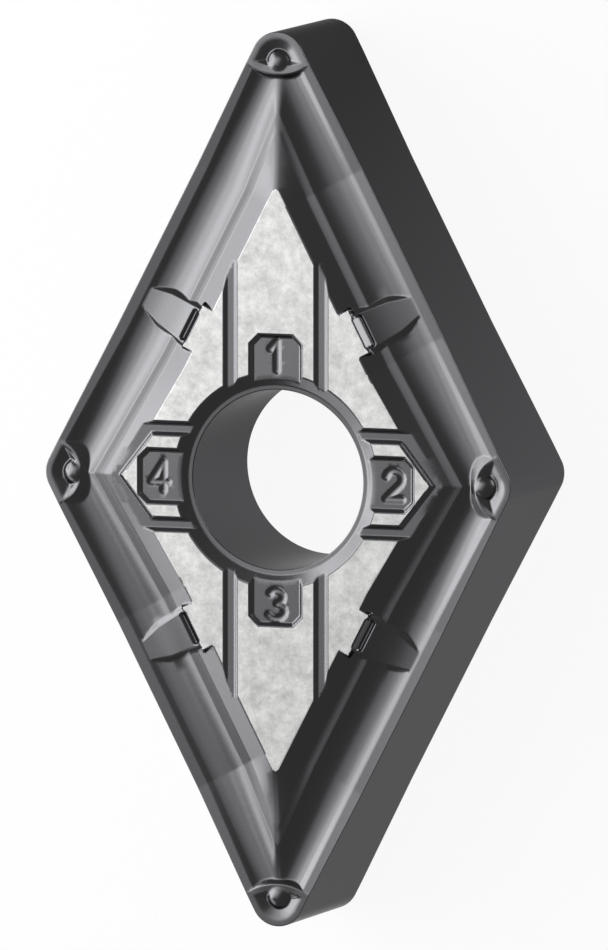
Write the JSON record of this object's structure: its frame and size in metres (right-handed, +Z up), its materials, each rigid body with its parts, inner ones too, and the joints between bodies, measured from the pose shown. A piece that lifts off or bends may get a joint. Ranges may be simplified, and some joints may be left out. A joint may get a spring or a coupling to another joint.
{
  "type": "carbide insert",
  "caption": "Double-sided rhombic turning insert with a clamp bore, ground seat faces and a moulded chip-breaker groove along every cutting edge.",
  "frame": {"origin": "centre of the bore in the plane of the lower seat face", "axes": "+Z up through the bore, +Y along the long diagonal to one acute cutting corner, +X along the short diagonal"},
  "size_m": [0.0142, 0.0256, 0.0049],
  "materials": {
    "coated_carbide": "sintered tungsten carbide, dark grey vapour-deposited coat, seat faces ground bright"
  },
  "bodies": {
    "root": {"insert_body": "coated_carbide"}
  },
  "joints": []
}
